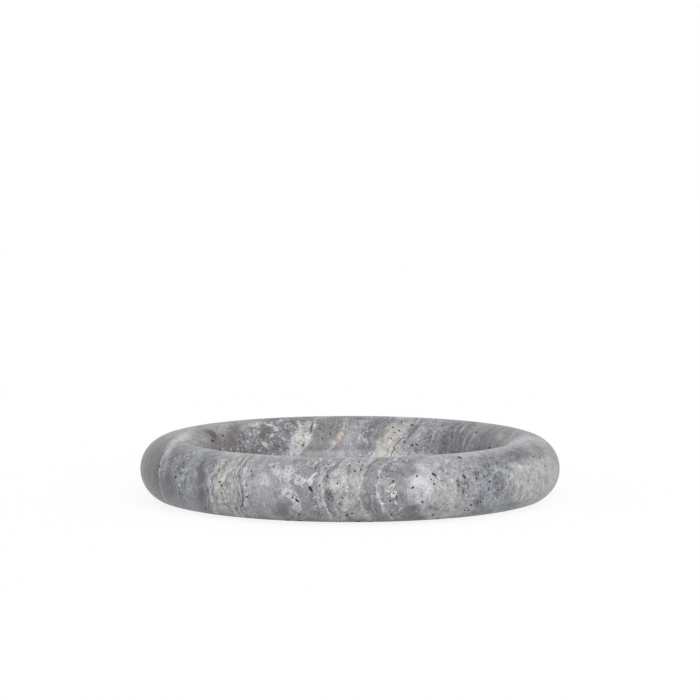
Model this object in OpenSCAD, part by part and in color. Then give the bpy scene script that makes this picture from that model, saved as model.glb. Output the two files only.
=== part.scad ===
// A low round stone tray with a fat, fully rounded rim, standing on four self-adhesive felt pads.
// The tray is one piece of travertine: a slab turned outside, hollowed inside and ground flat below.
// Origin: on the table under the tray's centre, +Z up.

/* [Stone tray] */
// Overall diameter of the tray
outer_d = 300; // [220:1:380]
// Diameter of the rim's round section
rim_d = 45; // [36:0.5:56]
// Depth ground off the bottom of the round rim to make the flat base
base_cut = 2.5; // [1:0.1:4]
// Thickness of stone under the dish floor
floor_t = 11; // [8:0.5:13]
// Radius of the cove between the dish floor and the wall
cove_r = 9; // [3:0.5:12]
// Height of the eased edge between the flat base and the rim
base_arris = 0.6; // [0.3:0.1:0.9]

/* [Felt pads] */
// Diameter of each felt pad
pad_d = 20; // [14:1:28]
// Thickness of the felt
felt_t = 2; // [1:0.25:3]
// Diameter of each adhesive disc, a little less than the felt
tape_d = 19; // [12:0.5:27]
// Thickness of the adhesive disc
tape_t = 0.3; // [0.2:0.05:0.6]
// Distance from the edge of the flat base to the nearest edge of a pad
pad_inset = 17.5; // [14:0.5:30]

/* [Hidden] */
$fn = 96;

// Where each corner of the tray lies, as an angle round +Z from +X
front_right_at = -45;
back_right_at = 45;
back_left_at = 135;
front_left_at = -135;

// Levels above the table
tape_z = felt_t;
stone_z = tape_z + tape_t;
floor_z = stone_z + floor_t;

// The rim's round section
rim_r = rim_d / 2;
ring_r = outer_d / 2 - rim_r;
section_z = stone_z + rim_r - base_cut;
wall_r = ring_r - rim_r;

// The cove stops where the rim's section is widest, so that it runs into the wall smoothly
cove = min(cove_r, section_z - floor_z);

// The flat base ends where the round section is cut, and its edge is eased by a short cone
base_drop = rim_r - base_cut;
base_r = ring_r + sqrt(rim_r * rim_r - base_drop * base_drop);
arris_drop = base_drop - base_arris;
arris_r = ring_r + sqrt(rim_r * rim_r - arris_drop * arris_drop);
arris_run = arris_r - base_r;

// The pads stand on a circle inside the flat base
pads_at_r = base_r - pad_inset - pad_d / 2;

// Half of the tray's section, to the right of its axis
module tray_section() {
    intersection() {
        union() {
            // the round rim
            translate([ring_r, section_z]) circle(r = rim_r);
            // the dish floor and the slab under the rim
            translate([0, stone_z]) square([ring_r, floor_t]);
            // the wall below the rim's widest place, straight down to the floor
            translate([wall_r, stone_z]) square([rim_r, section_z - stone_z]);
            // the cove
            difference() {
                translate([wall_r - cove, floor_z]) square(cove);
                translate([wall_r - cove, floor_z + cove]) circle(r = cove);
            }
        }
        // the flat base and its eased edge
        polygon([
            [0, stone_z],
            [base_r - arris_run, stone_z],
            [arris_r, stone_z + base_arris],
            [outer_d, stone_z + base_arris],
            [outer_d, stone_z + rim_d],
            [0, stone_z + rim_d]
        ]);
    }
}

module stone_tray() {
    color("#9b9a9d") rotate_extrude() tray_section();
}

// Puts a round pad part on the pads' circle
module at_corner(angle) {
    rotate([0, 0, angle]) translate([pads_at_r, 0, 0]) children();
}

module felt_pad(angle) {
    color("#4b4a4c") at_corner(angle) cylinder(d = pad_d, h = felt_t);
}

module adhesive_disc(angle) {
    color("#d8d6cf") at_corner(angle) translate([0, 0, tape_z]) cylinder(d = tape_d, h = tape_t);
}

stone_tray();
felt_pad(front_right_at);  // felt_pad_front_right
felt_pad(back_right_at);  // felt_pad_back_right
felt_pad(back_left_at);  // felt_pad_back_left
felt_pad(front_left_at);  // felt_pad_front_left
adhesive_disc(front_right_at);  // adhesive_disc_front_right
adhesive_disc(back_right_at);  // adhesive_disc_back_right
adhesive_disc(back_left_at);  // adhesive_disc_back_left
adhesive_disc(front_left_at);  // adhesive_disc_front_left
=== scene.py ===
import math

import bpy
import numpy as np
from mathutils import Matrix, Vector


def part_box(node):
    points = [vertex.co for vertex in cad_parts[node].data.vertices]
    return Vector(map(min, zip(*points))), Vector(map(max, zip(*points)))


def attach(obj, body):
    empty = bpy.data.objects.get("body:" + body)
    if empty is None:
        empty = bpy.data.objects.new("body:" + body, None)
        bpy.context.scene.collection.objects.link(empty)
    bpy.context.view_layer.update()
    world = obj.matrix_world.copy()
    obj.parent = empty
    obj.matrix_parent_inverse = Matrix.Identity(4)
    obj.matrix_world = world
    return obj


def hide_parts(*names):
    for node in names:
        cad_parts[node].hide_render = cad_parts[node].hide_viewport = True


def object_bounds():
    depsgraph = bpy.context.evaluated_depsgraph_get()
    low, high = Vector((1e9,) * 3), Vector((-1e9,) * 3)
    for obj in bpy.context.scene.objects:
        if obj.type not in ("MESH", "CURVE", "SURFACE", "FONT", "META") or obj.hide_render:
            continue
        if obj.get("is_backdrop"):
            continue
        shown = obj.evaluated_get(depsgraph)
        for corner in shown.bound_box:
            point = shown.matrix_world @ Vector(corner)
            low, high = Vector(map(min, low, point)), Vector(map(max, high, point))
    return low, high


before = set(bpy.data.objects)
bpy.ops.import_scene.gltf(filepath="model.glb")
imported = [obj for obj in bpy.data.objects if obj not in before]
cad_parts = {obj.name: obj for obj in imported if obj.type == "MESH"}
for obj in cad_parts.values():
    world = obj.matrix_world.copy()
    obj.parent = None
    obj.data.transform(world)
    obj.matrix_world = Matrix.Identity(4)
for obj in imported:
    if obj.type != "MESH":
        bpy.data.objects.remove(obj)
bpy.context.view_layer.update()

# The photograph's view
# A long lens looks level at the tray from a little above its rim. The tray stands low in the picture, so
# the camera is tipped up until the middle of the rim comes down to its own row.
PICTURE_PX = 700
TRAY_ROW_PX = 466.75
VIEW_DISTANCE = 2.1
VIEW_ELEVATION = math.radians(7.3)
LENS_MM = 150.5
SENSOR_MM = 36.0
RAY_STEPS = 400

stone_low, stone_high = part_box("stone_tray")
outer_r = round(stone_high.x, 4)
stone_z = round(stone_low.z, 4)
stone_top = round(stone_high.z, 4)
rim_r = 0.0225
ring_r = outer_r - rim_r
section_z = stone_top - rim_r

focal_px = LENS_MM / SENSOR_MM * PICTURE_PX
tip_up = math.atan((TRAY_ROW_PX - PICTURE_PX / 2) / focal_px)
pitch = VIEW_ELEVATION - tip_up
rim_middle = np.array([0.0, 0.0, section_z])
to_tray = np.array([0.0, math.cos(VIEW_ELEVATION), -math.sin(VIEW_ELEVATION)])
eye = rim_middle - VIEW_DISTANCE * to_tray
view_forward = np.array([0.0, math.cos(pitch), -math.sin(pitch)])
view_right = np.array([1.0, 0.0, 0.0])
view_up = np.array([0.0, math.sin(pitch), math.cos(pitch)])

camera_data = bpy.data.cameras.new("camera")
camera_data.lens = LENS_MM
camera_data.sensor_width = SENSOR_MM
camera = bpy.data.objects.new("camera", camera_data)
camera.location = eye
camera.rotation_euler = (math.pi / 2 - pitch, 0, 0)
bpy.context.scene.collection.objects.link(camera)
bpy.context.scene.camera = camera


def on_the_rim(pixels):
    """Where the photograph's pixels lie on the stone: from the eye, each ray steps on by its distance to
    the ring's round section until it meets it."""
    pixels = np.asarray(pixels, float).reshape(-1, 2)
    across = (pixels[:, 0] - PICTURE_PX / 2) / focal_px
    up = (PICTURE_PX / 2 - pixels[:, 1]) / focal_px
    ray = view_forward + across[:, None] * view_right + up[:, None] * view_up
    ray /= np.linalg.norm(ray, axis=1, keepdims=True)
    reach = np.zeros(len(pixels))
    for _ in range(RAY_STEPS):
        at = eye + ray * reach[:, None]
        reach += np.hypot(np.hypot(at[:, 0], at[:, 1]) - ring_r, at[:, 2] - section_z) - rim_r
    return eye + ray * reach[:, None]


# Stone tray
# One block of grey travertine, turned outside, hollowed inside, ground flat below and honed. The rim is a
# fat half round, the dish floor meets its wall in a cove, and the stone's natural pores stay open.
FLOOR_T = 0.011
COVE_R = 0.009
BASE_ARRIS = 0.0006
ARRIS_RUN = 0.00109
TURNS = 300
FLOOR_RINGS = 20
COVE_RINGS = 9
RIM_RINGS = 52
BASE_RINGS = 22

floor_z = stone_z + FLOOR_T
wall_r = ring_r - rim_r
cove_at_r = wall_r - COVE_R
cove_at_z = floor_z + COVE_R
arris_angle = -math.asin((section_z - stone_z - BASE_ARRIS) / rim_r)
arris_r = ring_r + rim_r * math.cos(arris_angle)
base_r = arris_r - 2 * ARRIS_RUN


def tray_half_section():
    """The half section as (radius, height) points, from the middle of the dish floor out and
    round to the middle of the base: a flat floor, a quarter-round cove, the round rim, a
    short cone and the flat base."""
    floor = np.column_stack([np.linspace(0, cove_at_r, FLOOR_RINGS), np.full(FLOOR_RINGS, floor_z)])
    turn = np.linspace(0, math.pi / 2, COVE_RINGS)
    cove = np.column_stack([cove_at_r + COVE_R * np.sin(turn), cove_at_z - COVE_R * np.cos(turn)])
    turn = np.linspace(math.pi, arris_angle, RIM_RINGS)
    rim = np.column_stack([ring_r + rim_r * np.cos(turn), section_z + rim_r * np.sin(turn)])
    base = np.column_stack([np.linspace(base_r, 0, BASE_RINGS), np.full(BASE_RINGS, stone_z)])
    return np.vstack([floor, cove[1:], rim[1:], base])


def ring_faces(rings, turns):
    """The faces that join rings of points to each other: walls of four corners between each ring and
    the next, and two fans that join the first ring to the point that follows all rings, and the last
    ring to the point after it."""
    ring = np.arange(rings - 1)[:, None] * turns
    here = np.arange(turns)[None, :]
    ahead = (here + 1) % turns
    walls = np.stack([ring + here, ring + turns + here, ring + turns + ahead, ring + ahead], axis=-1)
    end = (rings - 1) * turns
    pole = np.full(turns, rings * turns)
    fans = np.vstack([
        np.column_stack([pole, here[0], ahead[0]]),
        np.column_stack([pole + 1, end + ahead[0], end + here[0]]),
    ])
    return walls.reshape(-1, 4), fans


def turned_solid(profile, turns):
    """The half section carried round the Z axis: x = radius * cos(angle), y = radius * sin(angle). The
    first and last points of the section lie on the axis, and become one vertex each that closes its end."""
    angle = np.linspace(0, 2 * math.pi, turns, endpoint=False)
    rings = profile[1:-1]
    points = np.stack([
        rings[:, :1] * np.cos(angle),
        rings[:, :1] * np.sin(angle),
        np.repeat(rings[:, 1:], turns, axis=1),
    ], axis=-1).reshape(-1, 3)
    points = np.vstack([points, [0, 0, profile[0, 1]], [0, 0, profile[-1, 1]]])
    walls, fans = ring_faces(len(rings), turns)
    return points, walls.tolist() + fans.tolist()


def new_piece(name, points, faces):
    """A mesh object at the origin, whose place is in its vertices."""
    mesh = bpy.data.meshes.new(name)
    mesh.from_pydata(points, [], faces)
    mesh.update()
    piece = bpy.data.objects.new(name, mesh)
    bpy.context.scene.collection.objects.link(piece)
    return piece


stone = new_piece("travertine_tray", *turned_solid(tray_half_section(), TURNS))

# The beds of the travertine stand on edge and cross the tray from the front left to the
# back right. A point's place across them, in metres, is x less a share of y, and they lean
# a little more towards the back.
BED_SLANT = -0.52
BED_LEAN = -0.121
BED_TWIST = -1.6


def across_beds(points):
    """The place across the beds: x + slant * y + (lean + twist * y) * height above the middle of the rim."""
    points = np.asarray(points, float).reshape(-1, 3)
    height = points[:, 2] - section_z
    return points[:, 0] + BED_SLANT * points[:, 1] + (BED_LEAN + BED_TWIST * points[:, 1]) * height


# Open pores
# Gas and plant stems left holes between the beds, a millimetre or two across and about as deep, and the
# thin edge round the base has lost some flakes. Those that the photograph shows keep their places, and
# the rest are spread by chance, most of them in the porous beds.

# Each pore is the pixel of its middle, its length and width in millimetres, and its tilt in degrees.
SEEN_PORES = (
    (159.5, 466, 1.2, 1, 80), (175.5, 477, 1.7, 1.4, 90), (163.5, 471.5, 1, 0.8, 90),
    (180.5, 473, 1.1, 0.9, 80), (183.8, 462.8, 1, 0.9, 90), (187.5, 456.7, 1.1, 0.8, 60),
    (184, 466, 0.9, 0.8, 90), (219.5, 482, 1.8, 1.1, 60), (221.5, 485.5, 1.7, 1.1, 110),
    (210.5, 487, 1, 0.9, 90), (222, 493, 1.4, 1, 80), (226.5, 462.5, 1.1, 0.9, 90),
    (239.5, 494, 1, 0.8, 90), (247, 497, 1.6, 1.2, 60), (251.5, 471, 1.3, 1, 90),
    (273.6, 466.5, 1.1, 1, 90), (310.2, 488.7, 4.2, 2, -50), (315.5, 468, 1.6, 1, 70),
    (297, 500.5, 3.4, 1.7, -40), (292.5, 497.5, 1.4, 1, 60), (299, 514.5, 1.8, 1.1, 60),
    (326.6, 491.5, 1.5, 0.9, 20), (329.4, 494.5, 1.2, 1, 80), (328.5, 499, 1.1, 0.9, 90),
    (327.5, 476.5, 1.3, 1, 90), (349.5, 465.5, 1.4, 1.1, 90), (355, 471, 2, 1.1, 20),
    (361, 469.7, 1.7, 1.1, 90), (359, 461.7, 1.2, 1, 90), (362.3, 465.5, 1.2, 0.9, 90),
    (337.5, 483.5, 1.4, 1, 60), (339.5, 504, 1.5, 1.1, 90), (343, 498, 1.1, 0.9, 90),
    (347.2, 515.5, 2.2, 1.2, 60), (352.2, 513.5, 2, 1, 0), (341, 506, 1.5, 1.2, 60),
    (370, 494.5, 1, 0.9, 90), (375.3, 494, 1, 0.8, 90), (391.5, 515, 1.4, 1, 90),
    (378, 478, 1.3, 0.9, 90), (393.2, 481, 1.6, 1.4, 90), (390.3, 477.5, 2.4, 0.8, 85),
    (396.3, 496.5, 1.4, 1.1, 90), (390.3, 501, 1.7, 1.2, 100), (393.5, 493.2, 1.3, 1, 60),
    (434, 474.5, 4.2, 1.6, -35), (431, 479.3, 1.3, 1.1, 90), (434, 484.3, 1.4, 1.2, 90),
    (413, 487.5, 2.2, 1.4, 45), (417, 476, 1.6, 1.1, 70), (422.5, 501.8, 1.7, 1.5, 90),
    (464.4, 476.7, 3.6, 1.5, -55), (476.6, 478.5, 1.8, 1.3, 40), (471, 505.3, 2, 1.2, 30),
    (477.6, 501.7, 1.5, 1.2, 60), (481, 502, 1.2, 0.9, 90), (459.8, 457.2, 1.9, 1.2, 10),
    (462.8, 456.5, 1.7, 1.1, 20), (469.7, 468.5, 1.2, 1, 60), (457.5, 481, 1.5, 1, 80),
    (458.5, 484.7, 1.4, 0.9, 80), (463, 492, 1.5, 0.9, 70), (432.7, 514.8, 1.5, 1.1, 90),
    (464.5, 510.5, 1.4, 0.9, 60), (468.5, 510.5, 1.4, 0.9, 60), (402.5, 475, 1, 0.8, 90),
    (509, 475.8, 1.3, 1, 90), (488.5, 465.5, 1.3, 1, 60), (498, 490, 1.4, 1.1, 60),
    (489, 489, 1.2, 0.9, 60), (533.5, 456.5, 1.3, 0.9, 60), (539.5, 457.6, 1.2, 0.9, 60),
    (535.5, 459, 1, 0.8, 60), (545, 466, 1.1, 0.8, 80), (219, 470.5, 1.1, 0.8, 60),
    (224.5, 504, 1.1, 0.9, 60), (205.5, 508.5, 1.2, 0.9, 60), (190, 478, 1.1, 0.8, 70),
    (212.7, 441, 2.8, 1.5, -55), (223, 435.6, 1.5, 1.4, 90), (411.5, 425.1, 2, 1.6, 60),
    (399.1, 430.7, 1.9, 1.2, 60), (393, 427.3, 1.6, 1.1, -50), (394.9, 432.6, 1.3, 1.1, 50),
    (401.7, 422.4, 1.8, 1, 80), (397.8, 424.4, 1.4, 1, 60), (391.4, 438.8, 1.2, 1, 60),
    (412.3, 445.2, 2.3, 1.5, 40), (416.5, 444.8, 1.9, 1.3, 10), (404, 441.5, 2, 1, 60),
    (444.7, 443.9, 1.4, 1, 60), (476.2, 432.3, 1.5, 1, 60), (489.5, 447.7, 1.4, 0.9, 10),
    (320, 428, 1.2, 0.9, 90), (322, 438.5, 1.2, 1, 90), (302.8, 445.3, 1.4, 1.3, 90),
)
# Each chip is its column and half its length in millimetres.
CHIP_ROW_PX = 518
SEEN_CHIPS = (
    (286.5, 2.2), (292.5, 1.9), (298.5, 2.1), (304.5, 1.8), (358.5, 1.6), (364.5, 2.4), (371, 1.6),
    (438, 1.2), (505, 1.4), (228, 1.3),
)
RANDOM_CHIPS = 16
CHIP_HALF_WIDTH = 0.0018
CHIP_HALF_DEPTH = 0.0010
RANDOM_PORES = 900
TRIES_A_PORE = 12
SEEN_SIDE_SHARE = 0.2
PORE_GAP = 1.35
PORE_ROUND = 10
PORE_ROWS = 6
PORE_DEPTH = 1.5
PORE_SINK = 0.3
PORE_LUMPS = 0.24
# Half a pore in metres for each millimetre, and a little more, as its pebble's middle lies below the skin
HALF_PORE = 0.00055
pore_random = np.random.default_rng(41)


def skin_normals(points, spot):
    """Outward normals of the ideal tray at points whose faces' middles are spot: up on the dish
    floor, towards the cove's centre line in the cove, down on the base, square to the eased edge, and
    away from the ring elsewhere."""
    radius = np.hypot(points[:, 0], points[:, 1])
    out = points[:, :2] / np.maximum(radius, 1e-9)[:, None]
    spot_r = np.hypot(spot[:, 0], spot[:, 1])
    spot_z = spot[:, 2]
    radial = radius - ring_r
    upward = points[:, 2] - section_z
    in_cove = (spot_r > cove_at_r) & (spot_r < ring_r) & (spot_z < section_z)
    radial = np.where(in_cove, cove_at_r - radius, radial)
    upward = np.where(in_cove, cove_at_z - points[:, 2], upward)
    on_floor = spot_r <= cove_at_r
    radial = np.where(on_floor, 0.0, radial)
    upward = np.where(on_floor, 1.0, upward)
    below = spot_z < stone_z + BASE_ARRIS
    radial = np.where(below, BASE_ARRIS, radial)
    upward = np.where(below, -2 * ARRIS_RUN, upward)
    on_base = spot_z < stone_z + BASE_ARRIS / 20
    radial = np.where(on_base, 0.0, radial)
    upward = np.where(on_base, -1.0, upward)
    length = np.hypot(radial, upward)
    return np.column_stack([out * (radial / length)[:, None], upward / length])


def laid_on_skin(in_picture, normals):
    """Directions in the picture carried along the view onto the skin. Each comes out longer, up to three
    times, where the skin turns away from the eye."""
    tipped = (in_picture * normals).sum(1) / (normals @ view_forward)
    on_skin = in_picture - tipped[:, None] * view_forward
    longer = np.linalg.norm(on_skin, axis=1, keepdims=True)
    return on_skin * np.minimum(1.0, 3.0 / longer)


def pore_places():
    """Middles, normals, long directions and half sizes of all pores. A random pore falls evenly on
    the stone's surface, stays where the beds are porous, but seldom on the photographed side,
    which has its own, and is dropped where it would meet one placed before. Chips are flat flakes
    knocked off the edge of the base."""
    seen = np.array(SEEN_PORES)
    middles = on_the_rim(seen[:, :2])
    normals = skin_normals(middles, middles)
    tilt = np.radians(seen[:, 4])[:, None]

    along = laid_on_skin(np.cos(tilt) * view_right + np.sin(tilt) * view_up, normals)
    across = laid_on_skin(np.cos(tilt) * view_up - np.sin(tilt) * view_right, normals)
    halves = np.column_stack([
        seen[:, 2] * np.linalg.norm(along, axis=1), seen[:, 3] * np.linalg.norm(across, axis=1),
        seen[:, 3] * PORE_DEPTH]) * HALF_PORE

    profile = tray_half_section()
    middle = (profile[1:] + profile[:-1]) / 2
    area = np.hypot(*(profile[1:] - profile[:-1]).T) * middle[:, 0]
    tries = RANDOM_PORES * TRIES_A_PORE
    part = pore_random.choice(len(middle), tries, p=area / area.sum())
    share = pore_random.random(tries)[:, None]
    half_section = profile[part] * (1 - share) + profile[part + 1] * share
    angle = pore_random.random(tries) * 2 * math.pi
    spread = np.column_stack([
        half_section[:, 0] * np.cos(angle), half_section[:, 0] * np.sin(angle), half_section[:, 1]])
    # porous beds come and go in waves of 46 and 19 mm
    beds = across_beds(spread) * 1000
    porous = 0.5 + 0.5 * np.sin(beds / 7.3) * np.sin(beds / 3.1 + 1.7)
    spread_normals = skin_normals(spread, spread)
    facing = (spread_normals @ view_forward < -0.15) & (spread[:, 2] > stone_z + BASE_ARRIS)
    keep = pore_random.random(tries) < porous ** 3 * np.where(facing, SEEN_SIDE_SHARE, 1.0)
    spread = spread[keep][:RANDOM_PORES]
    spread_normals = spread_normals[keep][:RANDOM_PORES]
    count = len(spread)
    bed_normal = np.array([1.0, BED_SLANT, BED_LEAN])
    spread_along = np.cross(spread_normals, bed_normal)
    # from 0.8 to 2.6 mm long, and most of them short
    long_half = 0.0004 + 0.0009 * pore_random.random(count) ** 3
    wide_half = long_half * (0.5 + 0.4 * pore_random.random(count))
    spread_halves = np.column_stack([long_half, wide_half, wide_half * PORE_DEPTH])

    chip_spots = on_the_rim([(column, CHIP_ROW_PX) for column, _ in SEEN_CHIPS])
    chip_angle = np.arctan2(chip_spots[:, 1], chip_spots[:, 0])
    # chips by chance lie round the back and at the ends, and are 2.4 to 7 mm long
    chip_angle = np.concatenate([chip_angle, pore_random.uniform(-0.3, math.pi + 0.3, RANDOM_CHIPS)])
    chip_half = np.array([half for _, half in SEEN_CHIPS])
    chip_half = np.concatenate([chip_half, pore_random.uniform(1.2, 3.5, RANDOM_CHIPS)]) / 1000
    chip_out = np.column_stack([np.cos(chip_angle), np.sin(chip_angle), np.zeros(len(chip_angle))])
    chips = chip_out * arris_r + [0, 0, stone_z + BASE_ARRIS]
    chip_normals = chip_out * 0.8 - [0, 0, 0.6]
    chip_along = np.cross(chip_normals, chip_out)
    chip_sides = np.full((len(chips), 2), (CHIP_HALF_WIDTH, CHIP_HALF_DEPTH))
    chip_halves = np.column_stack([chip_half, chip_sides])

    middles = np.vstack([middles, chips, spread])
    normals = np.vstack([normals, chip_normals, spread_normals])
    along = np.vstack([along, chip_along, spread_along])
    halves = np.vstack([halves, chip_halves, spread_halves])
    kept = []
    for pore in range(len(middles)):
        away = np.linalg.norm(middles[kept] - middles[pore], axis=1)
        if np.all(away > (halves[kept, 0] + halves[pore, 0]) * PORE_GAP):
            kept.append(pore)
    return middles[kept], normals[kept], along[kept], halves[kept]


def lumpy_pebbles(middles, normals, along, halves):
    """One closed pebble for each pore: a ball on a grid of rows and turns, drawn out along the pore, each
    vertex pushed in or out at random, with its middle a little under the stone's skin."""
    row = np.linspace(0, math.pi, PORE_ROWS + 1)[1:-1]
    turn = np.linspace(0, 2 * math.pi, PORE_ROUND, endpoint=False)
    ball = np.stack([
        np.sin(row)[:, None] * np.cos(turn),
        np.sin(row)[:, None] * np.sin(turn),
        np.repeat(np.cos(row)[:, None], PORE_ROUND, axis=1),
    ], axis=-1).reshape(-1, 3)
    ball = np.vstack([ball, [0, 0, 1], [0, 0, -1]])
    along = along - normals * (along * normals).sum(1, keepdims=True)
    along /= np.linalg.norm(along, axis=1, keepdims=True)
    side = np.cross(normals, along)
    axes = np.stack([along, side, normals], axis=1)
    lumps = 1 + PORE_LUMPS * pore_random.uniform(-1, 1, (len(middles), len(ball), 1))
    local = ball[None] * lumps * halves[:, None, :]
    sunk = middles - normals * halves[:, 2:] * PORE_SINK
    points = np.einsum("pvk,pkx->pvx", local, axes) + sunk[:, None]
    walls, fans = ring_faces(len(row), PORE_ROUND)
    start = np.arange(len(middles))[:, None, None] * len(ball)
    faces = (walls + start).reshape(-1, 4).tolist() + (fans + start).reshape(-1, 3).tolist()
    return points.reshape(-1, 3), faces


# Honed travertine
# Grey "silver" travertine: calcite laid down in thin beds of ash, dove and pearl, some of
# them sandy, with white crystals, rust flecks and dark specks. It is honed and not polished,
# so the light on it is a soft sheen.


def linear(hex_colour):
    """An sRGB hex colour as linear red, green, blue and full opacity."""
    parts = np.array([int(hex_colour[i:i + 2], 16) for i in (1, 3, 5)]) / 255
    parts = np.where(parts <= 0.04045, parts / 12.92, ((parts + 0.055) / 1.055) ** 2.4)
    return (*parts.tolist(), 1.0)


# The stone's tones, from dark to pale
TONES = {name: linear(hex_colour) for name, hex_colour in (
    ("pitch", "#272624"), ("olive", "#3f3e39"), ("soot", "#434246"), ("charcoal", "#616063"),
    ("umber", "#6f6866"), ("lead", "#6b6a6e"), ("denim", "#6f737b"), ("slate", "#767579"),
    ("mushroom", "#7c7776"), ("clay", "#868485"), ("rust", "#a98763"), ("lilac", "#8c888d"),
    ("ash", "#909094"), ("steel", "#919499"), ("dove", "#a2a2a5"), ("blush", "#b4a398"),
    ("mist", "#a9a9aa"), ("apricot", "#bda88f"), ("pearl", "#b1b1b6"), ("sand", "#b7b4b0"),
    ("cream", "#bfbab5"), ("frost", "#bcc2cb"), ("chalk", "#c6c7cb"), ("snow", "#dedee1"),
)}
# Each bed is the column where it crosses a row of the photograph, its tone, and from 0 to 1 how much it
# has of white crystals, fine streaks and dark specks.
FRONT_ROW_PX = 485
FRONT_BEDS = (
    # the charcoal beds at the left end are the stone's own dark tone, deepened as painted shade on that end
    (141.5, "charcoal", 0, 1, 0.2), (150, "charcoal", 0, 1, 0.3), (158, "charcoal", 0, 0.9, 0.3),
    (162, "slate", 0.1, 0.5, 0.4), (170, "slate", 0.1, 0.5, 0.7), (183, "steel", 0.1, 0.6, 0.9),
    (194, "steel", 0.1, 0.5, 0.5), (198, "slate", 0, 0.3, 0.2), (206, "slate", 0, 0.4, 0.2),
    (209, "pearl", 0.1, 0.6, 0.6), (221, "sand", 0, 0.8, 0.8), (229, "pearl", 0, 1, 0.3),
    (237, "sand", 0, 1, 0.2), (239, "dove", 0, 1, 0.2), (243, "pearl", 0, 0.9, 0.2),
    (252, "dove", 0, 0.5, 0.2), (264, "dove", 0.1, 0.2, 0.1), (275, "dove", 0.1, 0.2, 0.2),
    (300, "ash", 0.2, 0.3, 0.3), (314, "ash", 0.2, 0.6, 0.2), (322, "dove", 0.1, 0.9, 0.2),
    (331, "ash", 0.1, 0.7, 0.4), (334, "mist", 0.1, 0.3, 0.6), (356, "mist", 0.2, 0.4, 0.5),
    (365, "lilac", 0, 1, 0.2), (375, "lilac", 0, 1, 0.2), (379, "ash", 0.1, 0.6, 0.5),
    (386, "ash", 0.2, 0.4, 0.9), (394, "ash", 0.3, 0.3, 0.9), (399, "lilac", 0, 0.5, 0.3),
    (407, "ash", 0.1, 0.2, 0.2), (413, "dove", 0.2, 0.1, 0.3),
)
FRONT_BEDS_RIGHT = (
    (413, "pearl", 0.1, 0.1, 0.3), (434, "pearl", 0.1, 0.2, 0.5), (450, "pearl", 0.1, 0.2, 0.7),
    (459, "dove", 0, 0.4, 0.8), (468, "ash", 0.1, 0.3, 0.9), (480, "steel", 0.1, 0.3, 1),
    (497, "steel", 0, 0.3, 1), (505, "ash", 0, 0.2, 0.8), (535, "sand", 0, 0.3, 0.5),
)
BACK_ROW_PX = 436
BACK_BEDS = (
    (191, "pearl", 0.1, 0.6, 0.2), (204, "ash", 0.1, 0.4, 0.2), (215, "mushroom", 0, 0.4, 0.4),
    (238, "mushroom", 0, 0.3, 0.4), (243, "slate", 0.5, 0.2, 0.8), (256, "slate", 0.5, 0.2, 0.9),
    (280, "slate", 0.45, 0.1, 1), (293, "slate", 0.5, 0.1, 1), (296, "ash", 0.8, 0, 0.4),
    (308, "ash", 0.8, 0, 0.3), (313, "clay", 0, 0.2, 0.5), (333, "clay", 0, 0.3, 0.4),
    (338, "ash", 0.2, 0.3, 0.2), (343, "lilac", 0.1, 0.5, 0.1), (350, "dove", 0.2, 0.8, 0.2),
    (361, "ash", 0.3, 0.8, 0.3), (366, "slate", 0.2, 0.6, 0.8), (378, "ash", 0.2, 0.5, 0.8),
    (383, "cream", 0.1, 0.2, 0.2), (396, "cream", 0.1, 0.3, 0.3), (401, "pearl", 0.1, 0.8, 0.4),
    (411, "dove", 0.1, 0.9, 0.6), (424, "dove", 0.2, 0.6, 0.9), (440, "ash", 0.1, 0.6, 1),
    (452, "slate", 0, 0.8, 0.8), (463, "slate", 0, 0.9, 0.4), (471, "ash", 0, 0.9, 0.3),
    (486, "slate", 0, 0.9, 0.3), (497, "slate", 0, 0.8, 0.2),
)
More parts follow.
